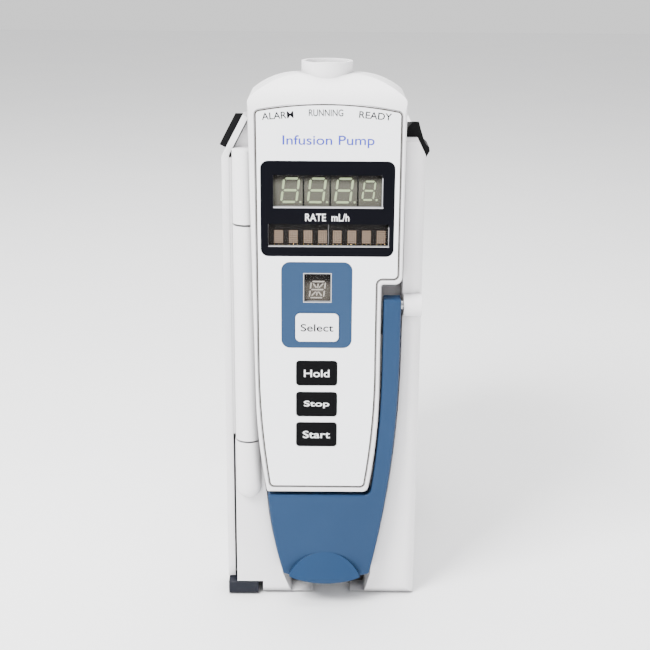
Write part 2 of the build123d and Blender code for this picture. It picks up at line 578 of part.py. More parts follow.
with BuildPart() as door_back_panel:
    with BuildSketch(front_plane(DOOR_BACK)):
        cavity_outline(PLATE_INSET)
    extrude(amount=DOOR_BACK - DOOR_PLATE_FRONT)
    block(
        (TUBE_X - PLATEN_HALF_WIDTH - 0.2, TUBE_X + PLATEN_HALF_WIDTH + 0.2), (-59, -55),
        (PLATEN_Z[0] - 0.2, PLATEN_Z[1] + 0.2), mode=Mode.SUBTRACT,
    )
    for x_span, z_span in ((UPPER_HOOK_X, UPPER_HOOK_Z), (LOWER_HOOK_X, LOWER_HOOK_Z)):
        block(
            (x_span[0] - 0.6, x_span[1] + 0.6), (-59, -55),
            (z_span[0] - HOOK_TRAVEL - 0.8, z_span[1] + 0.8), mode=Mode.SUBTRACT,
        )
    rod("z", (TUBE_X, PANEL_FRONT), (40, 210), GROOVE_R, mode=Mode.SUBTRACT)
    for spot in DOOR_POSTS:
        rod("y", spot, (-59, -55), DOOR_SCREW_R + 0.1, mode=Mode.SUBTRACT)
        rod("y", spot, (-57.0, -55), 2.1, mode=Mode.SUBTRACT)
save("door_back_panel", door_back_panel.part)

with BuildPart() as door_screws:
    for spot in DOOR_POSTS:
        rod("y", spot, (-64.0, -57.0), DOOR_SCREW_R)
        rod("y", spot, (-57.0, -56.1), 2.0)
save("door_screws", door_screws.part)

with BuildPart() as keypad_overlay:
    with BuildSketch(front_plane(OVERLAY_BACK)):
        label_outline()
    extrude(amount=OVERLAY_BACK - OVERLAY_FRONT)
    rounded_plate(MASK_CENTRE, MASK_HALF, -69.0, -71.0, MASK_CORNER, mode=Mode.SUBTRACT)
    rounded_plate(SELECT_PANEL_CENTRE, SELECT_PANEL_HALF, -69.0, -71.0, 3.5, mode=Mode.SUBTRACT)
    key_holes(-69.0, -71.0)
save("keypad_overlay", keypad_overlay.part)

with BuildPart() as select_panel:
    half = (SELECT_PANEL_HALF[0] - 0.05, SELECT_PANEL_HALF[1] - 0.05)
    rounded_plate(SELECT_PANEL_CENTRE, half, OVERLAY_BACK, OVERLAY_FRONT, 3.5)
    window_block(CHANNEL_WINDOW, (-71.0, -69.0))
    key_holes(-69.0, -71.0)
save("select_panel", select_panel.part)

with BuildPart() as display_mask:
    half = (MASK_HALF[0] - 0.05, MASK_HALF[1] - 0.05)
    rounded_plate(MASK_CENTRE, half, OVERLAY_BACK, OVERLAY_FRONT, MASK_CORNER)
    for window in (RATE_WINDOW, MESSAGE_WINDOW):
        window_block(window, (-71.0, -69.0))
save("display_mask", display_mask.part)

with BuildPart() as display_lens:
    for window in (RATE_WINDOW, MESSAGE_WINDOW, CHANNEL_WINDOW):
        window_block(window, (-69.3, -68.6), grow=-0.05, mode=Mode.ADD)
save("display_lens", display_lens.part)

DISPLAYS = {
    "rate_display": RATE_WINDOW, "message_display": MESSAGE_WINDOW, "channel_display": CHANNEL_WINDOW,
}
for name, window in DISPLAYS.items():
    with BuildPart() as display:
        window_block(window, (DISPLAY_FRONT, BOARD_FRONT), grow=-0.1, mode=Mode.ADD)
    save(name, display.part)

for name, (centre, half, r) in key_places().items():
    with BuildPart() as key:
        rounded_plate(centre, half, -68.7, -70.2, r)
        fillet(key.faces().sort_by(Axis.Y)[0].edges(), radius=0.25)
        rod("y", centre, (-68.8, -63.2), 1.6)
    save(name, key.part)

with BuildPart() as key_domes:
    for centre, _, _ in key_places().values():
        with BuildSketch(front_plane(BOARD_FRONT)):
            with Locations(centre):
                Circle(2.6)
        extrude(amount=0.5, taper=40)
save("key_domes", key_domes.part)

with BuildPart() as display_board:
    board = [
        (-21.8, 203.5), (28.0, 203.5), (28.0, 146.0), (20.6, 142.6), (20.4, 100.0), (18.6, 75.0),
        (16.8, 60.0), (-18.4, 60.0), (-21.8, 84.0),
    ]
    prism(front_plane(BOARD_BACK), board, BOARD_BACK - BOARD_FRONT)
    for spot in DOOR_POSTS:
        rod("y", spot, (-63, -60), POST_R + 0.2, mode=Mode.SUBTRACT)
save("display_board", display_board.part)

with BuildPart() as status_lamps:
    for x in (-9.5, 1.2, 12.0):
        block((x - 2.5, x + 2.5), (-66.5, BOARD_FRONT), (198.0, 202.5))
save("status_lamps", status_lamps.part)

with BuildPart() as platen:
    block((TUBE_X - PLATEN_HALF_WIDTH, TUBE_X + PLATEN_HALF_WIDTH), (-58.3, -55.7), PLATEN_Z)
    block(
        (TUBE_X - PLATEN_HALF_WIDTH - 1.6, TUBE_X + PLATEN_HALF_WIDTH + 1.6), (-59.6, -58.2),
        (PLATEN_Z[0] - 1.6, PLATEN_Z[1] + 1.6),
    )
    spring_spots = [(TUBE_X + x, z) for x in (-6.0, 6.0) for z in (106.0, 144.0)]
    for spot in spring_spots:
        rod("y", spot, (-60, -58.5), 2.1, mode=Mode.SUBTRACT)
save("platen", platen.part)

with BuildPart() as platen_springs:
    for spot in spring_spots:
        rod("y", spot, (BOARD_BACK, -59.35), 1.7)
        rod("y", spot, (BOARD_BACK - 1, -59), 1.1, mode=Mode.SUBTRACT)
save("platen_springs", platen_springs.part)

# ---------------------------------------------------------------- tube guide on top of the case
GUIDE_BACK = -36.0

with BuildPart() as upper_tube_guide:
    with BuildSketch(front_plane(GUIDE_BACK)):
        door_outline()
    extrude(amount=GUIDE_BACK - DOME_BACK - NECK_SPLIT_GAP)
    behind = GUIDE_BACK + 2.0
    under_roof = [
        (ROOF_START - 10, CASE_TOP), (ROOF_START, CASE_TOP), (behind, roof_height(behind)), (behind, 40.0),
        (ROOF_START - 10, 40.0),
    ]
    prism(side_plane(-45), under_roof, 90, mode=Mode.SUBTRACT)
    with BuildSketch(side_plane(-45)):
        with BuildLine():
            back = Spline((-50.0, DOME_TOP), (-43.0, 219.9), (-37.5, 214.0), (GUIDE_BACK, CASE_TOP + 1.0))
            Polyline(back @ 1, (-30.0, CASE_TOP + 1.0), (-30.0, 235.0), (-50.0, 235.0), back @ 0)
        make_face()
    extrude(amount=90, mode=Mode.SUBTRACT)
    with BuildSketch(Plane.XY.offset(210.0)):
        with Locations((TUBE_X, DOME_BACK)):
            Circle(NECK_R)
        with Locations((TUBE_X, DOME_BACK - 10 + NECK_SPLIT_GAP)):
            Rectangle(30, 20, mode=Mode.SUBTRACT)
    extrude(amount=NECK_TOP - 210.0)
    rod("z", (TUBE_X, DOME_BACK), (NECK_TOP - NECK_RIM, NECK_TOP + 1), NECK_R - NECK_RIM, mode=Mode.SUBTRACT)
    rod("z", (TUBE_X, DOME_BACK), (200.0, NECK_TOP + 1), NECK_BORE_R, mode=Mode.SUBTRACT)
save("upper_tube_guide", upper_tube_guide.part)

# ---------------------------------------------------------------- latch lever and its slide
with BuildPart() as lever_lip:
    with BuildSketch(front_plane(-66.0)):
        with BuildLine():
            crown = ThreePointArc((-13.4, 14.4), (1.6, 24.2), (16.4, 14.2))
            ThreePointArc(crown @ 1, (2.5, 11.3), crown @ 0)
        make_face()
    extrude(amount=8.0)
    lip_side = [(-65.0, 26.0), (-68.9, 24.6), (-72.6, 13.0), (-72.6, 10.0), (-65.0, 10.0)]
    prism(side_plane(-20), lip_side, 45, mode=Mode.INTERSECT)

with BuildPart() as latch_lever:
    with BuildSketch(front_plane(LEVER_BACK)):
        lever_outline()
    extrude(amount=LEVER_BACK - LEVER_FRONT)
    lever_front = latch_lever.faces().sort_by(Axis.Y)[0]
    fillet(lever_front.outer_wire().edges(), radius=0.9)
    # The shield is a shell, open at the back.
    with BuildSketch(front_plane(LEVER_BACK + 0.1)):
        lever_outline(grow=-2.2)
        with Locations((0, SHIELD_TOP - 2.2 + 50)):
            Rectangle(90, 100, mode=Mode.SUBTRACT)
    extrude(amount=4.0, mode=Mode.SUBTRACT)
    add(lever_lip.part)
    # Hub round the shaft.
    rod("x", (LEVER_Y, LEVER_Z), (24.6, 31.0), HUB_R)
    rod("x", (LEVER_Y, LEVER_Z), (25.4, 33.0), LEVER_SHAFT_R, mode=Mode.SUBTRACT)
save("latch_lever", latch_lever.part)

crank_tip = (LEVER_Y + LEVER_CRANK * cos(radians(45)), LEVER_Z + LEVER_CRANK * sin(radians(45)))
with BuildPart() as lever_shaft:
    rod("x", (LEVER_Y, LEVER_Z), (25.5, 37.6), LEVER_SHAFT_R)
    with BuildSketch(side_plane(34.5)):
        with Locations(Location(((LEVER_Y + crank_tip[0]) / 2, (LEVER_Z + crank_tip[1]) / 2, 0), (0, 0, 45))):
            SlotCenterToCenter(LEVER_CRANK, 3.0)
    extrude(amount=1.1)
    rod("x", crank_tip, (35.0, 37.1), 1.2)
save("lever_shaft", lever_shaft.part)

BAR_X = (35.8, 37.2)
FORK_HALF = 1.75                       # half height of the slot that the crank's pin runs in

with BuildPart() as latch_slide:
    block(BAR_X, (-57.0, -48.6), (64.0, 186.0))
    for x_span, z_span in ((UPPER_HOOK_X, UPPER_HOOK_Z), (LOWER_HOOK_X, LOWER_HOOK_Z)):
        block(BAR_X, (-49.0, -45.6), z_span)
        block((x_span[0], BAR_X[1]), (-47.6, -45.6), z_span)
        block(x_span, (-57.6, -45.6), z_span)
    fork_z = (crank_tip[1] - FORK_HALF, crank_tip[1] + FORK_HALF)
    block((35.0, 38.0), (-58.0, LEVER_Y + LEVER_CRANK + 1.7), fork_z, mode=Mode.SUBTRACT)
save("latch_slide", latch_slide.part)

# ---------------------------------------------------------------- release latch
with BuildPart() as release_latch:
    block((-39.6, -26.8), (-62.0, -52.0), (0.6, 6.2))
    chamfer(release_latch.faces().sort_by(Axis.Y)[0].edges(), length=0.4)
    block((-32.4, -28.4), (-53.0, 24.0), LATCH_BAR_Z)
    block((-42.4, -28.4), (12.0, 24.0), LATCH_BAR_Z)
save("release_latch", release_latch.part)

with BuildPart() as release_latch_spring:
    rod("x", (0.0, 4.2), (-26.6, -22.0), 1.3)
    rod("x", (0.0, 4.2), (-27.0, -21.0), 0.8, mode=Mode.SUBTRACT)
save("release_latch_spring", release_latch_spring.part)

# ---------------------------------------------------------------- pumping mechanism
FRAME_HALF, FRAME_INNER_HALF = 13.8, 10.2
FRAME_Z = (94.0, 160.0)
BRACKET_Z = (171.0, 174.0)
MOTOR_HALF, MOTOR_LENGTH = 14.0, 20.0
MOTOR_SCREWS = [(CAM_X + x, MOTOR_Y + y) for x in (-11.0, 11.0) for y in (-11.0, 11.0)]
MOTOR_SCREW_R = 1.25
BEARING_R, BEARING_LENGTH = 5.0, 4.0
SPOKE_ANGLES = [index * pi / 3 for index in range(6)]
ENCODER_R, ENCODER_Z, ENCODER_SLOTS, ENCODER_SLOT_R = 9.5, (89.5, 90.5), 12, 8.2

with BuildPart() as mechanism_frame:
    block((CAM_X - FRAME_HALF, CAM_X + FRAME_HALF), (PANEL_BACK, -17.0), FRAME_Z)
    block(
        (CAM_X - FRAME_INNER_HALF, CAM_X + FRAME_INNER_HALF), (PANEL_BACK - 1, -21.0),
        (FRAME_Z[0] + BEARING_LENGTH, FRAME_Z[1] - BEARING_LENGTH), mode=Mode.SUBTRACT,
    )
    rod("z", (CAM_X, CAM_Y), (90, 165), BEARING_R, mode=Mode.SUBTRACT)
    for side in (-1, 1):
        for y_span in ((PANEL_BACK, -44.5), (-20.0, -17.0)):
            inner, outer = CAM_X + side * 11.0, CAM_X + side * FRAME_HALF
            block((min(inner, outer), max(inner, outer)), y_span, (FRAME_Z[1] - 1, BRACKET_Z[0] + 1))
    block((CAM_X - FRAME_HALF, CAM_X + FRAME_HALF), (PANEL_BACK, 1.0), BRACKET_Z)
    rod("z", (CAM_X, MOTOR_Y), (170, 175), 3.0, mode=Mode.SUBTRACT)
    for spot in MOTOR_SCREWS:
        rod("z", spot, (170, 175), MOTOR_SCREW_R, mode=Mode.SUBTRACT)
    for x in MECHANISM_SCREW_X:
        for z in MECHANISM_SCREW_Z:
            rod("y", (x, z), (-50, -16), 1.0, mode=Mode.SUBTRACT)
save("mechanism_frame", mechanism_frame.part)

with BuildPart() as mechanism_screws:
    for spot in MOTOR_SCREWS:
        rod("z", spot, (BRACKET_Z[0], 178.0), MOTOR_SCREW_R)
        rod("z", spot, (BRACKET_Z[0] - 1.5, BRACKET_Z[0]), 2.1)
    for x in MECHANISM_SCREW_X:
        for z in MECHANISM_SCREW_Z:
            rod("y", (x, z), (-51.0, -17.0), 1.0)
            rod("y", (x, z), (-17.0, -15.6), 2.0)
save("mechanism_screws", mechanism_screws.part)

with BuildPart() as cam_bearings:
    for low in (FRAME_Z[0], FRAME_Z[1] - BEARING_LENGTH):
        rod("z", (CAM_X, CAM_Y), (low, low + BEARING_LENGTH), BEARING_R)
    rod("z", (CAM_X, CAM_Y), (90, 165), CAM_SHAFT_R + SHAFT_CLEARANCE, mode=Mode.SUBTRACT)
save("cam_bearings", cam_bearings.part)

with BuildPart() as camshaft:
    rod("z", (CAM_X, CAM_Y), (88.0, 169.0), CAM_SHAFT_R)
    for index in range(FINGERS):
        phase = index * 2 * pi / FINGERS
        centre = (CAM_X + CAM_THROW * sin(phase), CAM_Y - CAM_THROW * cos(phase))
        middle = finger_centre(index)
        rod("z", centre, (middle - 3.2, middle + 3.2), CAM_R)
save("camshaft", camshaft.part)

with BuildPart() as cam_gear:
    prism(Plane(origin=(CAM_X, CAM_Y, GEAR_Z0)), gear_outline(CAM_TEETH), GEAR_Z1 - GEAR_Z0)
    rod("z", (CAM_X, CAM_Y), (160, 170), CAM_SHAFT_R, mode=Mode.SUBTRACT)
    for angle in SPOKE_ANGLES:
        spot = (CAM_X + 8.6 * cos(angle), CAM_Y + 8.6 * sin(angle))
        rod("z", spot, (160, 170), 2.6, mode=Mode.SUBTRACT)
save("cam_gear", cam_gear.part)

with BuildPart() as motor_pinion:
    half_tooth = pi / PINION_TEETH
    pinion_plane = Plane(
        origin=(CAM_X, MOTOR_Y, GEAR_Z0), x_dir=(cos(half_tooth), sin(half_tooth), 0), z_dir=(0, 0, 1)
    )
    prism(pinion_plane, gear_outline(PINION_TEETH), GEAR_Z1 - GEAR_Z0)
    rod("z", (CAM_X, MOTOR_Y), (GEAR_Z0, 177.5), 1.5)
save("motor_pinion", motor_pinion.part)

with BuildPart() as drive_motor:
    with BuildSketch(Plane.XY.offset(BRACKET_Z[1])):
        with Locations((CAM_X, MOTOR_Y)):
            RectangleRounded(2 * MOTOR_HALF, 2 * MOTOR_HALF, 2.5)
    extrude(amount=MOTOR_LENGTH)
    rod("z", (CAM_X, MOTOR_Y), (170, 178), 1.6, mode=Mode.SUBTRACT)
    for spot in MOTOR_SCREWS:
        rod("z", spot, (170, 178), MOTOR_SCREW_R, mode=Mode.SUBTRACT)
save("drive_motor", drive_motor.part)

with BuildPart() as encoder_wheel:
    rod("z", (CAM_X, CAM_Y), ENCODER_Z, ENCODER_R)
    rod("z", (CAM_X, CAM_Y), (89, 91), CAM_SHAFT_R, mode=Mode.SUBTRACT)
    with Locations((CAM_X, CAM_Y, 90)):
        with PolarLocations(ENCODER_SLOT_R, ENCODER_SLOTS):
            Box(1.6, 1.0, 3.0, mode=Mode.SUBTRACT)
save("encoder_wheel", encoder_wheel.part)

with BuildPart() as encoder_sensor:
    block((CAM_X - 4, CAM_X + 4), (-25.5, -17.0), (85.0, FRAME_Z[0]))
    block((CAM_X - 5, CAM_X + 5), (-26.0, -20.5), (88.4, 91.6), mode=Mode.SUBTRACT)
save("encoder_sensor", encoder_sensor.part)

for index in range(FINGERS):
    middle = finger_centre(index)
    lift = CAM_THROW * cos(index * 2 * pi / FINGERS)
    with BuildPart() as finger:
        block(
            (CAM_X - FINGER_HALF_WIDTH, CAM_X + FINGER_HALF_WIDTH), (FINGER_TIP - lift, -22.8 - lift),
            (middle - FINGER_HEIGHT / 2, middle + FINGER_HEIGHT / 2),
        )
        fillet(finger.faces().sort_by(Axis.Y)[0].edges(), radius=0.8)
        block(
            (CAM_X - CAM_R - 1.05, CAM_X + CAM_R + 1.05), (CAM_Y - 7.5 - lift, CAM_Y + 7.5 - lift),
            (middle - 5, middle + 5), mode=Mode.SUBTRACT,
        )
    save(f"pump_finger_{index + 1}", finger.part)

with BuildPart() as membrane_seal:
    centre, half = (TUBE_X, (finger_top + finger_bottom) / 2), (10.2, (finger_top - finger_bottom) / 2 + 3.2)
    rounded_plate(centre, half, PANEL_FRONT + 0.6, PANEL_FRONT + 0.1, 0.5)
save("membrane_seal", membrane_seal.part)

for name, z in SENSORS_Z.items():
    with BuildPart() as sensor:
        rod("y", (TUBE_X, z), (PANEL_FRONT - 0.2, PANEL_BACK - 0.4), SENSOR_R)
        fillet(sensor.faces().sort_by(Axis.Y)[0].edges(), radius=0.5)
    save(name, sensor.part)

with BuildPart() as air_sensor:
    block((TUBE_X - SEAT_HALF, TUBE_X + SEAT_HALF), (PANEL_FRONT - 0.4, PANEL_BACK + 1.0), AIR_SENSOR_Z)
    block((TUBE_X - 2.4, TUBE_X + 2.4), (-57, -51.0), (66, 80), mode=Mode.SUBTRACT)
save("air_sensor", air_sensor.part)

ARM_Z = (58.0, 60.4)
with BuildPart() as clamp_holder:
    block((TUBE_X - SEAT_HALF, TUBE_X + SEAT_HALF), (PANEL_FRONT - 0.1, PANEL_BACK + 1.0), CLAMP_HOLDER_Z)
    block((TUBE_X - 2.4, TUBE_X + 2.4), (-57, -52.0), (54, 65), mode=Mode.SUBTRACT)
    block((TUBE_X - 5.2, TUBE_X + 5.2), (-57, -40), (ARM_Z[0] - 0.2, ARM_Z[1] + 0.2), mode=Mode.SUBTRACT)
save("clamp_holder", clamp_holder.part)

with BuildPart() as clamp_arm:
    block((TUBE_X - 5.0, TUBE_X + 5.0), (-54.8, -38.0), ARM_Z)
    block((TUBE_X - 2.4, TUBE_X + 2.4), (-57, -50.0), (57, 62), mode=Mode.SUBTRACT)
    block((TUBE_X - 1.5, TUBE_X + 1.5), (-44.0, -38.0), (ARM_Z[0], ARM_Z[1] + 4.0))
save("clamp_arm", clamp_arm.part)

# ---------------------------------------------------------------- electronics
BOARD_Y = (50.0, 51.6)
STANDOFF_SPOTS = [(x, z) for x in (-20.0, 20.0) for z in (26.0, 166.0)]

with BuildPart() as logic_board:
    block((-25.0, 25.0), BOARD_Y, (14.0, 172.0))
save("logic_board", logic_board.part)

CHIPS = {
    "processor": ((-8.0, 8.0), 2.0, (92.0, 108.0)),
    "memory": ((-22.0, -14.0), 1.4, (94.0, 106.0)),
    "driver": ((14.0, 24.0), 2.2, (124.0, 134.0)),
    "regulator": ((-22.0, -12.0), 4.5, (50.0, 62.0)),
    "inductor": ((12.0, 24.0), 7.0, (50.0, 62.0)),
    "flex_header": ((-9.0, 11.0), 4.0, (150.0, 156.0)),
    "door_header": ((-24.0, -20.0), 6.0, (116.0, 136.0)),
    "side_header_left": ((-24.0, -19.0), 8.0, (150.0, 170.0)),
    "side_header_right": ((19.0, 24.0), 8.0, (150.0, 170.0)),
}
with BuildPart() as board_parts:
    for x_span, height, z_span in CHIPS.values():
        block(x_span, (BOARD_Y[0] - height, BOARD_Y[0]), z_span)
save("board_parts", board_parts.part)

with BuildPart() as board_standoffs:
    for x, z in STANDOFF_SPOTS:
        with BuildSketch(front_plane(CASE_BACK - WALL)):
            with Locations((x, z)):
                RegularPolygon(3.2, 6)
        extrude(amount=CASE_BACK - WALL - BOARD_Y[1])
save("board_standoffs", board_standoffs.part)

with BuildPart() as ribbon_cable:
    route = [
        (BOARD_Y[0] - 4.0, 153.0), (34.0, 153.0), (22.0, 162.0), (12.0, 190.0),
        (MOTOR_Y + MOTOR_HALF, 190.0),
    ]
    with BuildSketch(side_plane(-7.0)):
        with BuildLine():
            upper = FilletPolyline(*[(y, z + 0.4) for y, z in route], radius=3.0)
            lower = FilletPolyline(*[(y, z - 0.4) for y, z in route], radius=3.0)
            Line(upper @ 0, lower @ 0)
            Line(upper @ 1, lower @ 1)
        make_face()
    extrude(amount=16.0)
save("ribbon_cable", ribbon_cable.part)

# ---------------------------------------------------------------- case screws
with BuildPart() as case_screws:
    for spot in CASE_SCREWS:
        rod("y", spot, (-28.0, CASE_BACK - SCREW_HEAD_DEPTH), 1.4)
        rod("y", spot, (CASE_BACK - SCREW_HEAD_DEPTH, CASE_BACK - 1.4), 2.9)
        rod("y", spot, (CASE_BACK - 2.6, CASE_BACK), 1.2, mode=Mode.SUBTRACT)
save("case_screws", case_screws.part)
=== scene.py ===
import json
import math

import bmesh
import bpy
from mathutils import Matrix, Vector


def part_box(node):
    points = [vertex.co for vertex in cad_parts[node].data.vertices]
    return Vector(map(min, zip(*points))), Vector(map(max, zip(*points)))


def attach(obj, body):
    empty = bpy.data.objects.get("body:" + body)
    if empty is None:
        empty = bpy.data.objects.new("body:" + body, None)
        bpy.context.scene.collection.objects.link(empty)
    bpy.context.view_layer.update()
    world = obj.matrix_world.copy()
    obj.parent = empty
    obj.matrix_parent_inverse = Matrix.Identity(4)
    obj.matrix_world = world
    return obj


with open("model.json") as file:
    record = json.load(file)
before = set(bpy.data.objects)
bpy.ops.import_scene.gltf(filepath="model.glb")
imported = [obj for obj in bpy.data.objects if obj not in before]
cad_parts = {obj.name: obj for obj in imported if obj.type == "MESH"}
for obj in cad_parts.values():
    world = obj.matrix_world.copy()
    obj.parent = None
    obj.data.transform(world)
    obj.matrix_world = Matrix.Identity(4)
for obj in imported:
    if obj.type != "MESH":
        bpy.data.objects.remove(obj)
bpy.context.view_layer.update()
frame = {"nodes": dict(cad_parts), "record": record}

MM = 0.001
HAIR = 0.03 * MM           # how proud printed ink and thin films stand

# ---------------------------------------------------------------- material building blocks


def new_material(name):
    material = bpy.data.materials.new(name)
    material.use_nodes = True
    tree = material.node_tree
    shader = tree.nodes["Principled BSDF"]
    return material, tree, shader


def add(tree, kind, settings=None, **inputs):
    """New node with its settings, and its inputs set to a value or joined to a socket."""
    made = tree.nodes.new(kind)
    for key, value in (settings or {}).items():
        setattr(made, key, value)
    for key, value in inputs.items():
        socket = made.inputs[key.replace("_", " ")]
        if isinstance(value, bpy.types.NodeSocket):
            tree.links.new(value, socket)
        else:
            socket.default_value = value
    return made


def place(tree, stretch=(1, 1, 1)):
    """Place on the object in metres, stretched along its axes."""
    coords = add(tree, "ShaderNodeTexCoord")
    mapping = add(tree, "ShaderNodeMapping", Vector=coords.outputs["Object"])
    mapping.inputs["Scale"].default_value = stretch
    return mapping.outputs["Vector"]


def noise(tree, where, scale, detail=3.0):
    return add(tree, "ShaderNodeTexNoise", Vector=where, Scale=scale, Detail=detail).outputs["Fac"]


def spread(tree, value, low, high, start=0.3, stop=0.7):
    made = add(tree, "ShaderNodeMapRange", Value=value)
    made.inputs["From Min"].default_value = start
    made.inputs["From Max"].default_value = stop
    made.inputs["To Min"].default_value = low
    made.inputs["To Max"].default_value = high
    return made.outputs["Result"]


def blend_colours(tree, share, first, second, kind="MIX"):
    made = add(tree, "ShaderNodeMix", {"data_type": "RGBA", "blend_type": kind})
    for socket, value in ((made.inputs[0], share), (made.inputs[6], first), (made.inputs[7], second)):
        if isinstance(value, bpy.types.NodeSocket):
            tree.links.new(value, socket)
        elif isinstance(value, (int, float)):
            socket.default_value = value
        else:
            socket.default_value = (*value, 1.0)
    return made.outputs[2]


def relief(tree, shader, height, strength, distance, edge=0.0):
    """Bump from a height, on top of edges rounded by a small radius."""
    made = add(tree, "ShaderNodeBump", Strength=strength, Distance=distance, Height=height)
    if edge:
        rounded = add(tree, "ShaderNodeBevel", {"samples": 6}, Radius=edge)
        tree.links.new(rounded.outputs["Normal"], made.inputs["Normal"])
    tree.links.new(made.outputs["Normal"], shader.inputs["Normal"])


def darker(colour, share):
    return tuple(channel * share for channel in colour)


def moulded(name, colour, roughness, tint=None, grain=1500.0, depth=0.02, unshaded_share=0.8, edge=0.25, sheen=0.5,
            reach=3.0):
    """Moulded plastic: spark-eroded grain, slow drift in tone and painted shade darkening its corners and recesses."""
    material, tree, shader = new_material(name)
    where = place(tree)
    drift = spread(tree, noise(tree, where, 22.0), 0.0, 1.0)
    fine = noise(tree, where, grain, 2.0)
    base = blend_colours(tree, drift, colour, tint or darker(colour, 0.95))
    speck = spread(tree, fine, 0.0, 0.06)
    base = blend_colours(tree, speck, base, darker(colour, 0.5))
    # Painted shade: ambient occlusion blends corners, creases and recesses toward a darker copy of the colour. The
    # strength argument is the share of the colour kept where that shade is deepest, and 1.0 paints none.
    if unshaded_share < 1.0:
        corner = add(tree, "ShaderNodeAmbientOcclusion", {"samples": 6}, Distance=reach * MM)
        shade = spread(tree, corner.outputs["AO"], 1.0 - unshaded_share, 0.0, 0.25, 0.85)
        base = blend_colours(tree, shade, base, darker(colour, 0.12))
    tree.links.new(base, shader.inputs["Base Color"])
    wear = noise(tree, where, 90.0, 4.0)
    rough = spread(tree, wear, roughness - 0.06, roughness + 0.06)
    tree.links.new(rough, shader.inputs["Roughness"])
    shader.inputs["Specular IOR Level"].default_value = sheen
    relief(tree, shader, fine, 0.35, depth * MM, edge * MM)
    return material


def brushed(name, colour, roughness, stretch=(60, 60, 4), metallic=1.0):
    """Metal with fine drawn lines and duller patches."""
    material, tree, shader = new_material(name)
    lines = noise(tree, place(tree, stretch), 40.0, 5.0)
    patches = noise(tree, place(tree), 120.0, 3.0)
    base = blend_colours(tree, spread(tree, lines, 0.0, 1.0), colour, darker(colour, 0.72))
    base = blend_colours(tree, spread(tree, patches, 0.0, 0.25), base, darker(colour, 0.5))
    tree.links.new(base, shader.inputs["Base Color"])
    tree.links.new(spread(tree, lines, roughness - 0.08, roughness + 0.1), shader.inputs["Roughness"])
    shader.inputs["Metallic"].default_value = metallic
    relief(tree, shader, lines, 0.25, 0.02 * MM, 0.12 * MM)
    return material


def circuit_board(name):
    """Solder mask over copper tracks, with plated holes."""
    material, tree, shader = new_material(name)
    where = place(tree)
    mask, track, plated = (0.008, 0.085, 0.035), (0.02, 0.15, 0.06), (0.62, 0.5, 0.2)
    bands = add(tree, "ShaderNodeTexBrick", Vector=place(tree, (1, 0, 1)), Scale=260.0)
    bands.inputs["Mortar Size"].default_value = 0.06
    cells = add(tree, "ShaderNodeTexVoronoi", Vector=place(tree, (1, 0, 1)), Scale=230.0)
    hole = spread(tree, cells.outputs["Distance"], 1.0, 0.0, 0.12, 0.16)
    base = blend_colours(tree, bands.outputs["Fac"], mask, track)
    base = blend_colours(tree, hole, base, plated)
    base = blend_colours(tree, spread(tree, noise(tree, where, 60.0), 0.0, 0.25), base, darker(mask, 0.5))
    tree.links.new(base, shader.inputs["Base Color"])
    tree.links.new(spread(tree, noise(tree, where, 140.0), 0.25, 0.45), shader.inputs["Roughness"])
    relief(tree, shader, bands.outputs["Fac"], 0.5, 0.03 * MM)
    return material


def flat_cable(name):
    """Parallel insulated conductors."""
    material, tree, shader = new_material(name)
    wires = add(tree, "ShaderNodeTexWave", {"bands_direction": "X"}, Vector=place(tree), Scale=125.0)
    wires.inputs["Distortion"].default_value = 0.0
    base = blend_colours(tree, wires.outputs["Fac"], (0.3, 0.31, 0.33), (0.5, 0.51, 0.53))
    tree.links.new(base, shader.inputs["Base Color"])
    tree.links.new(spread(tree, noise(tree, place(tree), 200.0), 0.4, 0.55), shader.inputs["Roughness"])
    relief(tree, shader, wires.outputs["Fac"], 0.6, 0.1 * MM)
    return material


def window_lens(name):
    """Clear window with a faint haze of handling."""
    material, tree, shader = new_material(name)
    smear = noise(tree, place(tree, (1, 1, 3)), 70.0, 4.0)
    tree.links.new(spread(tree, smear, 0.03, 0.12), shader.inputs["Roughness"])
    base = blend_colours(tree, spread(tree, smear, 0.0, 0.5), (0.05, 0.05, 0.05), (0.09, 0.085, 0.08))
    tree.links.new(base, shader.inputs["Base Color"])
    shader.inputs["Alpha"].default_value = 0.04
    shader.inputs["Specular IOR Level"].default_value = 0.1
    shader.inputs["IOR"].default_value = 1.49
    relief(tree, shader, smear, 0.1, 0.01 * MM)
    return material


def display_face(name, lit, dim, low, high):
    """Display window face with a painted shadow of the window's upper lip, darker towards its upper edge."""
    material, tree, shader = new_material(name)
    coords = add(tree, "ShaderNodeTexCoord")
    parts = add(tree, "ShaderNodeSeparateXYZ", Vector=coords.outputs["Object"])
    # Painted shadow: the face goes from lit to dim between the heights low and high, standing in for the shadow cast
    # by the window's upper lip.
    height = spread(tree, parts.outputs["Z"], 0.0, 1.0, low, high)
    base = blend_colours(tree, height, lit, dim)
    mottle = noise(tree, coords.outputs["Object"], 700.0, 3.0)
    base = blend_colours(tree, spread(tree, mottle, 0.0, 0.12), base, darker(lit, 0.6))
    tree.links.new(base, shader.inputs["Base Color"])
    tree.links.new(spread(tree, mottle, 0.45, 0.6), shader.inputs["Roughness"])
    shader.inputs["Specular IOR Level"].default_value = 0.1
    relief(tree, shader, mottle, 0.1, 0.005 * MM)
    return material


# ---------------------------------------------------------------- the record's material slots
WHITE, WHITE_TINT = (0.83, 0.82, 0.83), (0.78, 0.765, 0.78)
LABEL, LABEL_TINT = (0.93, 0.94, 0.96), (0.90, 0.91, 0.94)
LEVER_BLUE = (0.0125, 0.037, 0.090)
PANEL_BLUE = (0.0165, 0.043, 0.098)
NAVY = (0.0010, 0.0022, 0.008)
BLACK = (0.0015, 0.0015, 0.002)
WINDOW_BLACK = (0.001, 0.0012, 0.003)

rate_low, rate_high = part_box("rate_display")
message_low, message_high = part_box("message_display")
rate_height = rate_high[2] - rate_low[2]
channel_low, channel_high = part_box("channel_display")
channel_height = channel_high[2] - channel_low[2]

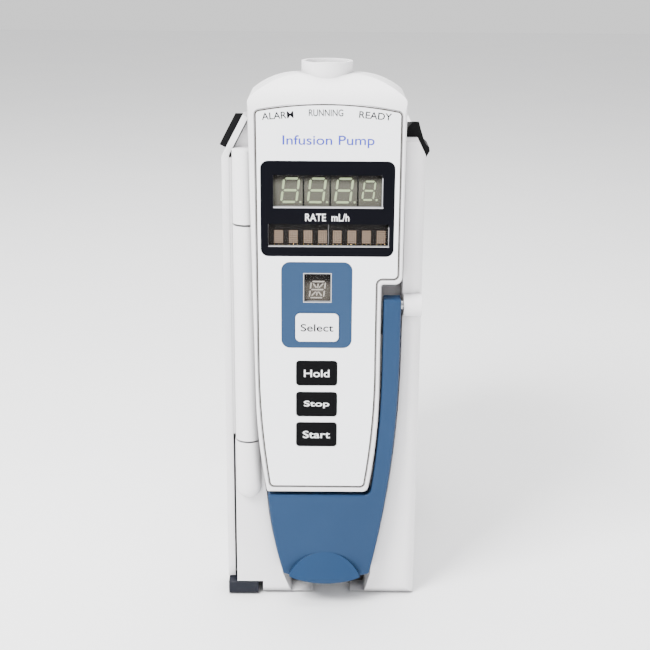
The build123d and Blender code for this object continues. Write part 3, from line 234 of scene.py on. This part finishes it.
MATERIALS = {
    # The white shell and the blue lever carry the deepest painted shade in their corners and recesses.
    "white_shell": moulded("white_shell", WHITE, 0.42, WHITE_TINT, depth=0.03, unshaded_share=0.25, reach=5.0),
    "label_film": moulded("label_film", LABEL, 0.5, LABEL_TINT, grain=2600.0, depth=0.008, unshaded_share=0.9, edge=0.1),
    "blue_film": moulded("blue_film", PANEL_BLUE, 0.5, grain=2600.0, depth=0.008, unshaded_share=0.9, edge=0.1, sheen=0.2),
    "plate_film": moulded("plate_film", (0.42, 0.43, 0.45), 0.45, grain=2200.0, depth=0.008, edge=0.1),
    "blue_plastic": moulded("blue_plastic", LEVER_BLUE, 0.4, darker(LEVER_BLUE, 0.88), depth=0.03, unshaded_share=0.5, sheen=0.15),
    "navy_plastic": moulded("navy_plastic", NAVY, 0.45, depth=0.03, unshaded_share=0.6, sheen=0.25),
    "black_plastic": moulded("black_plastic", BLACK, 0.5, depth=0.03, unshaded_share=0.7, sheen=0.12),
    "key_black": moulded("key_black", BLACK, 0.5, grain=2600.0, depth=0.006, edge=0.2, sheen=0.06),
    "key_white": moulded("key_white", (0.84, 0.84, 0.85), 0.42, grain=2600.0, depth=0.012, edge=0.2),
    "black_gloss": moulded("black_gloss", WINDOW_BLACK, 0.4, grain=2600.0, depth=0.003, edge=0.1, sheen=0.06),
    "inner_plate": moulded("inner_plate", (0.33, 0.34, 0.36), 0.5, depth=0.04, unshaded_share=0.5),
    "sensor_grey": moulded("sensor_grey", (0.16, 0.165, 0.175), 0.45, depth=0.03, unshaded_share=0.6),
    "lamp_diffuser": moulded("lamp_diffuser", (0.7, 0.7, 0.66), 0.35, depth=0.01),
    "motor_black": moulded("motor_black", (0.02, 0.02, 0.022), 0.35, depth=0.05, unshaded_share=0.6),
    "silicone": moulded("silicone", (0.3, 0.31, 0.32), 0.65, grain=900.0, depth=0.05, unshaded_share=0.6),
    "nylon": moulded("nylon", (0.66, 0.64, 0.57), 0.45, grain=1100.0, depth=0.03, unshaded_share=0.5),
    "steel": brushed("steel", (0.56, 0.57, 0.58), 0.3),
    "contact_metal": brushed("contact_metal", (0.83, 0.62, 0.27), 0.25),
    "brass_gear": brushed("brass_gear", (0.72, 0.52, 0.22), 0.32, (50, 50, 50)),
    "aluminium_plate": brushed("aluminium_plate", (0.66, 0.66, 0.68), 0.36, (60, 60, 60)),
    "cast_frame": brushed("cast_frame", (0.5, 0.5, 0.51), 0.5, (14, 14, 14)),
    "circuit_board": circuit_board("circuit_board"),
    "ribbon": flat_cable("ribbon"),
    "clear_lens": window_lens("clear_lens"),
    # Painted shadow: the rate face darkens over its upper part, and the message face darkens over its whole height.
    "display_face": display_face(
        "display_face", (0.085, 0.082, 0.066), (0.004, 0.003, 0.002),
        rate_low[2] + 0.70 * rate_height, rate_high[2] - 1.0 * MM,
    ),
    "message_face": display_face(
        "message_face", (0.006, 0.004, 0.003), (0.0015, 0.001, 0.001), message_low[2], message_high[2]
    ),
}

# Painted shadow over the upper part of the channel face.
CHANNEL_FACE = display_face(
    "channel_face", (0.07, 0.062, 0.052), (0.004, 0.003, 0.003),
    channel_low[2] + 0.52 * channel_height, channel_low[2] + 0.78 * channel_height,
)

for row in frame["record"]["subparts"]:
    material = CHANNEL_FACE if row["node"] == "channel_display" else MATERIALS[row["material_slot"]]
    for holder in frame["nodes"][row["node"]].material_slots:
        holder.material = material

INK_DARK = moulded("ink_dark", (0.004, 0.004, 0.007), 0.5, grain=3000.0, depth=0.004, unshaded_share=1.0, edge=0, sheen=0.1)
INK_BLUE = moulded("ink_blue", (0.035, 0.05, 0.42), 0.5, grain=3000.0, depth=0.004, unshaded_share=1.0, edge=0, sheen=0.1)
INK_WHITE = moulded("ink_white", (0.86, 0.86, 0.87), 0.5, grain=3000.0, depth=0.004, unshaded_share=1.0, edge=0)
LINE_GREY = moulded("line_grey", (0.035, 0.026, 0.022), 0.5, grain=3000.0, depth=0.004, unshaded_share=1.0, edge=0, sheen=0.1)
# Painted shade: a dark brown-grey colour for the sheet laid in the finger recess, standing in for the shade under the
# lever's lip.
RECESS_SHADE_SHEET = moulded("recess_shade", (0.022, 0.018, 0.016), 0.45, (0.05, 0.044, 0.04), 700.0, 0.03, 0.7, 0.1, 0.2)
# Light grey: a painted highlight on the window sills, and also a grey ring round the channel window.
GREY_RIM_AND_HIGHLIGHT = moulded("bevel", (0.42, 0.42, 0.44), 0.4, grain=3000.0, depth=0.004, unshaded_share=1.0, edge=0)
SEGMENT = moulded("segment", (0.36, 0.43, 0.25), 0.45, (0.28, 0.35, 0.19), 1800.0, 0.006, 1.0, 0, 0.2)
STARBURST = moulded("starburst", (0.36, 0.33, 0.29), 0.45, None, 1800.0, 0.006, 1.0, 0, 0.2)
DOT = moulded("dot", (0.17, 0.11, 0.07), 0.45, (0.22, 0.165, 0.12), 1800.0, 0.006, 1.0, 0, 0.2)

# ---------------------------------------------------------------- mesh building blocks


def piece(name, mesh, material, body):
    made = bpy.data.objects.new(name, mesh)
    bpy.context.scene.collection.objects.link(made)
    mesh.materials.clear()
    mesh.materials.append(material)
    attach(made, body)
    return made


def prisms(name, outlines, y_back, y_front, round_off=0.0):
    """Mesh of upright prisms from X, Z outlines, with their front edges eased."""
    work = bmesh.new()
    for outline in outlines:
        back = [work.verts.new((x, y_back, z)) for x, z in outline]
        front = [work.verts.new((x, y_front, z)) for x, z in outline]
        count = len(outline)
        face = work.faces.new(front)
        work.faces.new(list(reversed(back)))
        for i in range(count):
            j = (i + 1) % count
            work.faces.new((front[i], back[i], back[j], front[j]))
        if round_off:
            bmesh.ops.bevel(
                work, geom=list(face.edges), offset=round_off, segments=2, affect="EDGES", profile=0.5
            )
    bmesh.ops.recalc_face_normals(work, faces=work.faces)
    mesh = bpy.data.meshes.new(name)
    work.to_mesh(mesh)
    work.free()
    return mesh


def ring(name, outer, inner, y_back, y_front):
    """Mesh of a flat closed band between two outlines that have the same number of points."""
    work = bmesh.new()
    loops = [[work.verts.new((x, y, z)) for x, z in outline]
             for outline in (outer, inner) for y in (y_front, y_back)]
    outer_front, outer_back, inner_front, inner_back = loops
    count = len(outer)
    for i in range(count):
        j = (i + 1) % count
        work.faces.new((outer_front[i], outer_front[j], inner_front[j], inner_front[i]))
        work.faces.new((outer_back[i], inner_back[i], inner_back[j], outer_back[j]))
        work.faces.new((outer_front[i], outer_back[i], outer_back[j], outer_front[j]))
        work.faces.new((inner_front[i], inner_front[j], inner_back[j], inner_back[i]))
    bmesh.ops.recalc_face_normals(work, faces=work.faces)
    mesh = bpy.data.meshes.new(name)
    work.to_mesh(mesh)
    work.free()
    return mesh


def front_outline(node):
    """Outer outline of a CAD node's front face, as X, Z points in order."""
    mesh = frame["nodes"][node].data
    front = min(vertex.co.y for vertex in mesh.vertices)
    near = 0.02 * MM

    def key(index):
        co = mesh.vertices[index].co
        return (round(co.x / near), round(co.z / near))

    places, used = {}, {}
    for polygon in mesh.polygons:
        if polygon.normal.y > -0.9:
            continue
        if any(mesh.vertices[i].co.y > front + near for i in polygon.vertices):
            continue
        corners = [key(i) for i in polygon.vertices]
        for i, corner in zip(polygon.vertices, corners):
            places[corner] = (mesh.vertices[i].co.x, mesh.vertices[i].co.z)
        for a, b in zip(corners, corners[1:] + corners[:1]):
            if a != b:
                used[(a, b)] = used.get((a, b), 0) + 1
    following = {a: b for a, b in used if (b, a) not in used}
    best = []
    while following:
        start, spot = next(iter(following.items()))
        del following[start]
        loop = [start]
        while spot != start and spot in following:
            loop.append(spot)
            spot = following.pop(spot)
        outline = [places[corner] for corner in loop]
        if abs(area(outline)) > abs(area(best)):
            best = outline
    return best


def area(outline):
    return sum(a[0] * b[1] - b[0] * a[1] for a, b in zip(outline, outline[1:] + outline[:1])) / 2


def inset(outline, amount):
    """Outline moved inwards along its corners' bisectors."""
    sign = 1.0 if area(outline) > 0 else -1.0
    moved = []
    count = len(outline)
    for i in range(count):
        before, here, after = (Vector(outline[k % count]) for k in (i - 1, i, i + 1))
        first, second = (here - before).normalized(), (after - here).normalized()
        normal = Vector((-(first.y + second.y), first.x + second.x)).normalized() * sign
        side = Vector((-first.y, first.x)) * sign
        moved.append(here + normal * (amount / max(0.5, normal.dot(side))))
    return [(point.x, point.y) for point in moved]


def lettering(name, text, centre, width, height, y, material, body, turn=0.0, weight=0.009):
    """Printed text, as wide and as high as stated, facing the front."""
    curve = bpy.data.curves.new(name, "FONT")
    curve.body, curve.align_x = text, "CENTER"
    curve.extrude, curve.offset = 0.5 * HAIR, weight
    holder = bpy.data.objects.new(name + "_draft", curve)
    bpy.context.scene.collection.objects.link(holder)
    bpy.context.view_layer.update()
    mesh = bpy.data.meshes.new_from_object(holder.evaluated_get(bpy.context.evaluated_depsgraph_get()))
    bpy.data.objects.remove(holder)
    low = Vector([min(v.co[i] for v in mesh.vertices) for i in range(3)])
    high = Vector([max(v.co[i] for v in mesh.vertices) for i in range(3)])
    middle = (low + high) / 2
    size = Matrix.Diagonal((width / (high.x - low.x), height / (high.y - low.y), 1.0, 1.0))
    stand = Matrix.Rotation(math.radians(90), 4, "X")
    lean = Matrix.Rotation(math.radians(turn), 4, "Y")
    at = Matrix.Translation((centre[0], y, centre[1]))
    mesh.transform(at @ lean @ stand @ size @ Matrix.Translation(-middle))
    return piece(name, mesh, material, body)


# ---------------------------------------------------------------- seven-segment rate display
SLANT = math.tan(math.radians(7.0))


def segment(start, end, half, centre_z):
    """Pointed bar from start to end, leaning with the digit."""
    a, b = Vector(start), Vector(end)
    along = (b - a).normalized()
    across = Vector((-along.y, along.x)) * half
    tip = along * half
    outline = [a, a + tip + across, b - tip + across, b, b - tip - across, a + tip - across]
    return [(p.x + (p.y - centre_z) * SLANT, p.y) for p in outline]


def digit(x, z, width, height, half):
    """The seven segments of one digit about its centre."""
    gap = 0.35 * MM
    left, right = x - width / 2, x + width / 2
    low, high = z - height / 2, z + height / 2
    rows = [((left + gap, at), (right - gap, at)) for at in (low, z, high)]
    columns = [
        ((side, bottom + gap), (side, top - gap))
        for side in (left, right) for bottom, top in ((low, z), (z, high))
    ]
    return [segment(start, end, half, z) for start, end in rows + columns]


def disc(x, z, r, sides=20):
    turns = [2 * math.pi * i / sides for i in range(sides)]
    return [(x + r * math.cos(a), z + r * math.sin(a)) for a in turns]


face_y = rate_low[1]
rate_width = rate_high[0] - rate_low[0]
CELL_EDGES = (0.033, 0.277, 0.524, 0.779, 0.982)      # where one digit module meets the next
LARGE_DIGIT, SMALL_DIGIT = (5.8 * MM, 9.2 * MM), (4.2 * MM, 7.2 * MM)
digit_z = rate_low[2] + 0.50 * rate_height
segments, points, dividers = [], [], []
for cell in range(4):
    start = rate_low[0] + CELL_EDGES[cell] * rate_width
    stop = rate_low[0] + CELL_EDGES[cell + 1] * rate_width
    wide, high = SMALL_DIGIT if cell == 3 else LARGE_DIGIT
    thick = 0.32 * MM if cell == 3 else 0.42 * MM
    segments += digit((start + stop) / 2, digit_z, wide, high, thick)
    points.append(disc(stop - 1.2 * MM, digit_z - high / 2, 0.4 * MM))
    if cell:
        dividers.append([
            (start - 0.3 * MM, rate_low[2]), (start + 0.3 * MM, rate_low[2]),
            (start + 0.3 * MM, rate_high[2]), (start - 0.3 * MM, rate_high[2]),
        ])
rise = 0.12 * MM
piece("rate_segments", prisms("rate_segments", segments, face_y, face_y - rise, 0.04 * MM),
      SEGMENT, "door")
piece("rate_points", prisms("rate_points", points, face_y, face_y - rise, 0.04 * MM),
      SEGMENT, "door")
piece("rate_dividers", prisms("rate_dividers", dividers, face_y, face_y - rise),
      MATERIALS["black_plastic"], "door")

# ---------------------------------------------------------------- dot-matrix message display
CHARACTERS, COLUMNS, ROWS = 8, 5, 7
message_width = message_high[0] - message_low[0]
message_y = message_low[1]
pitch_x = 5.70 * MM
first_x = (message_low[0] + message_high[0]) / 2 + 0.6 * MM - pitch_x * (CHARACTERS - 1) / 2
dot_pitch = (0.68 * MM, 0.74 * MM)
dots, pads = [], []
for character in range(CHARACTERS):
    for column in range(COLUMNS):
        for line in range(ROWS):
            x = first_x + character * pitch_x + (column - (COLUMNS - 1) / 2) * dot_pitch[0]
            z = message_low[2] + 1.15 * MM + line * dot_pitch[1]
            half = 0.29 * MM
            dots.append([(x - half, z - half), (x + half, z - half), (x + half, z + half), (x - half, z + half)])
    for offset in (-1.6 * MM, 0.0, 1.6 * MM):
        x, z = first_x + character * pitch_x + offset, message_low[2] + 0.28 * MM
        pads.append(disc(x, z, 0.16 * MM, 10))
piece("message_dots", prisms("message_dots", dots, message_y, message_y - rise), DOT, "door")
piece("message_pads", prisms("message_pads", pads, message_y, message_y - 0.08 * MM, 0.03 * MM),
      MATERIALS["contact_metal"], "door")
middle_x = (message_low[0] + message_high[0]) / 2
split = [(middle_x - 0.12 * MM, message_low[2]), (middle_x + 0.12 * MM, message_low[2]),
         (middle_x + 0.12 * MM, message_high[2]), (middle_x - 0.12 * MM, message_high[2])]
piece("message_split", prisms("message_split", [split], message_y, message_y - rise),
      MATERIALS["sensor_grey"], "door")

# ---------------------------------------------------------------- starburst channel display
channel_x = (channel_low[0] + channel_high[0]) / 2
channel_z = channel_low[2] + 0.40 * (channel_high[2] - channel_low[2])
star_w, star_h, star_half = 5.6 * MM, 6.6 * MM, 0.26 * MM
star = digit(channel_x, channel_z, star_w, star_h, star_half)
inner = 0.75 * MM
for side in (-1, 1):
    for rise_way in (-1, 1):
        star.append(segment(
            (channel_x + side * inner * 0.6, channel_z + rise_way * inner),
            (channel_x + side * (star_w / 2 - inner), channel_z + rise_way * (star_h / 2 - inner)),
            star_half * 0.9, channel_z,
        ))
for rise_way in (-1, 1):
    ends = sorted((channel_z + rise_way * inner, channel_z + rise_way * (star_h / 2 - inner)))
    star.append(segment((channel_x, ends[0]), (channel_x, ends[1]), star_half * 0.9, channel_z))
channel_y = channel_low[1]
piece("channel_segments", prisms("channel_segments", star, channel_y, channel_y - rise, 0.03 * MM),
      STARBURST, "door")

# ---------------------------------------------------------------- dark sheet in the finger recess, painted shade under the lever's lip
recess_back = -51.0 * MM
recess_shade_outline = [(-16.2, 16.0), (-16.0, 11.2), (-12.4, 1.6), (18.3, 1.6), (20.8, 11.2), (21.0, 16.0)]
piece("recess_shade_sheet", prisms("recess_shade_sheet", [[(x * MM, z * MM) for x, z in recess_shade_outline]],
                             recess_back + 0.01 * MM, recess_back - 0.4 * MM),
      RECESS_SHADE_SHEET, "case")

# ---------------------------------------------------------------- printed lines and legends
label_low, label_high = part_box("keypad_overlay")
label_front = label_low[1]
label_edge = front_outline("keypad_overlay")
LINE_WIDTH = 0.5 * MM
piece("label_line",
      ring("label_line", inset(label_edge, 0.05 * MM), inset(label_edge, 0.05 * MM + LINE_WIDTH),
           label_front + 0.01 * MM, label_front - HAIR),
      LINE_GREY, "door")

rim = [(channel_low[0], channel_low[2]), (channel_high[0], channel_low[2]),
       (channel_high[0], channel_high[2]), (channel_low[0], channel_high[2])]
piece("channel_rim",
      ring("channel_rim", inset(rim, -0.42 * MM), inset(rim, -0.12 * MM),
           label_front + 0.01 * MM, label_front - HAIR),
      GREY_RIM_AND_HIGHLIGHT, "door")

ink_y = label_front - HAIR
LEGENDS = (
    ("legend_alarm", "ALARM", (-17.4, 207.4), 12.0, 2.6, -4.0),
    ("legend_run", "RUNNING", (0.9, 208.5), 13.0, 2.6, 0.0),
    ("legend_ready", "READY", (19.6, 207.5), 12.4, 2.6, 4.5),
)
for name, text, spot, width, height, turn in LEGENDS:
    lettering(name, text, (spot[0] * MM, spot[1] * MM), width * MM, height * MM, ink_y,
              INK_DARK, "door", turn)
lettering("legend_title", "Infusion Pump", (1.9 * MM, 197.6 * MM), 35.0 * MM, 4.8 * MM, ink_y,
          INK_BLUE, "door")
mask_low, mask_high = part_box("display_mask")
rate_legend_z = (rate_low[2] + message_high[2]) / 2 - 0.7 * MM
lettering("legend_rate", "RATE  mL/h", (1.6 * MM, rate_legend_z), 17.0 * MM, 3.0 * MM,
          mask_low[1] - HAIR, INK_WHITE, "door")

# Painted highlight: light grey strips under the lower edge and down the right inner edge of the rate and message
# windows, where those faces catch the light. None run along the top.
sill_highlights = []
for (low, high), thick in (((rate_low, rate_high), 0.6 * MM), ((message_low, message_high), 0.35 * MM)):
    sill_highlights.append([(low[0], low[2] - thick), (high[0] + thick, low[2] - thick), (high[0] + thick, low[2] - 0.05 * MM),
                   (low[0], low[2] - 0.05 * MM)])
    sill_highlights.append([(high[0] + 0.05 * MM, low[2]), (high[0] + 0.6 * thick, low[2]),
                   (high[0] + 0.6 * thick, high[2] - 1.0 * MM), (high[0] + 0.05 * MM, high[2] - 1.0 * MM)])
piece("window_sill_highlights", prisms("window_sill_highlights", sill_highlights, mask_low[1] + 0.01 * MM, mask_low[1] - HAIR),
      GREY_RIM_AND_HIGHLIGHT, "door")

KEY_TEXT = {
    "key_pause": ("Hold", 10.2, INK_WHITE), "key_channel_off": ("Stop", 10.2, INK_WHITE),
    "key_restart": ("Start", 11.0, INK_WHITE), "key_channel_select": ("Select", 13.0, INK_DARK),
}
for node, (text, width, ink) in KEY_TEXT.items():
    low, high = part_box(node)
    centre = ((low[0] + high[0]) / 2, (low[2] + high[2]) / 2)
    lettering(node + "_text", text, centre, width * MM, 3.1 * MM, low[1] - HAIR, ink, node + "_body")

# ---------------------------------------------------------------- rating plate ruling
plate_low, plate_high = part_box("rating_plate")
plate_back = plate_high[1]
margin, rule = 3.0 * MM, 0.25 * MM
left, right = plate_low[0] + margin, plate_high[0] - margin
bottom, top = plate_low[2] + margin, plate_high[2] - margin
PLATE_ROWS = 5
rules = []
for step in range(PLATE_ROWS + 1):
    z = bottom + (top - bottom) * step / PLATE_ROWS
    rules.append([(left, z - rule), (right, z - rule), (right, z + rule), (left, z + rule)])
for x in (left, right):
    rules.append([(x - rule, bottom), (x + rule, bottom), (x + rule, top), (x - rule, top)])
piece("plate_rules", prisms("plate_rules", rules, plate_back + HAIR, plate_back - 0.01 * MM),
      INK_DARK, "case")

# ---------------------------------------------------------------- studio
floor_size = 6.0
floor_mesh = bpy.data.meshes.new("floor")
half_floor = floor_size / 2
floor_mesh.from_pydata(
    [(-half_floor, -half_floor, 0), (half_floor, -half_floor, 0), (half_floor, half_floor, 0),
     (-half_floor, half_floor, 0)], [], [(0, 1, 2, 3)],
)
floor = bpy.data.objects.new("floor", floor_mesh)
bpy.context.scene.collection.objects.link(floor)
floor_material, floor_tree, floor_shader = new_material("floor")
floor_tone = noise(floor_tree, place(floor_tree), 8.0)
floor_colour = blend_colours(floor_tree, spread(floor_tree, floor_tone, 0.0, 1.0), (0.9, 0.9, 0.9), (0.88, 0.88, 0.89))
floor_tree.links.new(floor_colour, floor_shader.inputs["Base Color"])
floor_shader.inputs["Roughness"].default_value = 0.8
floor_mesh.materials.append(floor_material)

world = bpy.context.scene.world or bpy.data.worlds.new("studio")
bpy.context.scene.world = world
world.use_nodes = True
world.node_tree.nodes["Background"].inputs["Color"].default_value = (1.0, 1.0, 1.0, 1.0)
world.node_tree.nodes["Background"].inputs["Strength"].default_value = 1.1

object_middle = Vector((0.0, 0.0, 0.115))


def softbox(name, place_at, size, power):
    light = bpy.data.lights.new(name, "AREA")
    light.shape, light.size, light.energy = "SQUARE", size, power
    holder = bpy.data.objects.new(name, light)
    bpy.context.scene.collection.objects.link(holder)
    holder.location = place_at
    holder.rotation_euler = (object_middle - Vector(place_at)).to_track_quat("-Z", "Y").to_euler()


softbox("key_light", (-0.55, -0.6, 0.95), 0.45, 34.0)
softbox("fill_light", (0.9, -0.8, 0.45), 0.9, 7.0)
softbox("top_light", (0.0, 0.1, 1.1), 0.8, 16.0)

CAMERA_AT = (1.04 * MM, -552.5 * MM, 275.9 * MM)
PITCH_DOWN, ROLL = math.radians(17.4), math.radians(0.395)
camera_data = bpy.data.cameras.new("camera")
camera_data.sensor_width, camera_data.lens = 36.0, 70.6
camera = bpy.data.objects.new("camera", camera_data)
bpy.context.scene.collection.objects.link(camera)
aim = Matrix.Rotation(math.pi / 2 - PITCH_DOWN, 4, "X") @ Matrix.Rotation(ROLL, 4, "Z")
camera.matrix_world = Matrix.Translation(CAMERA_AT) @ aim
bpy.context.scene.camera = camera
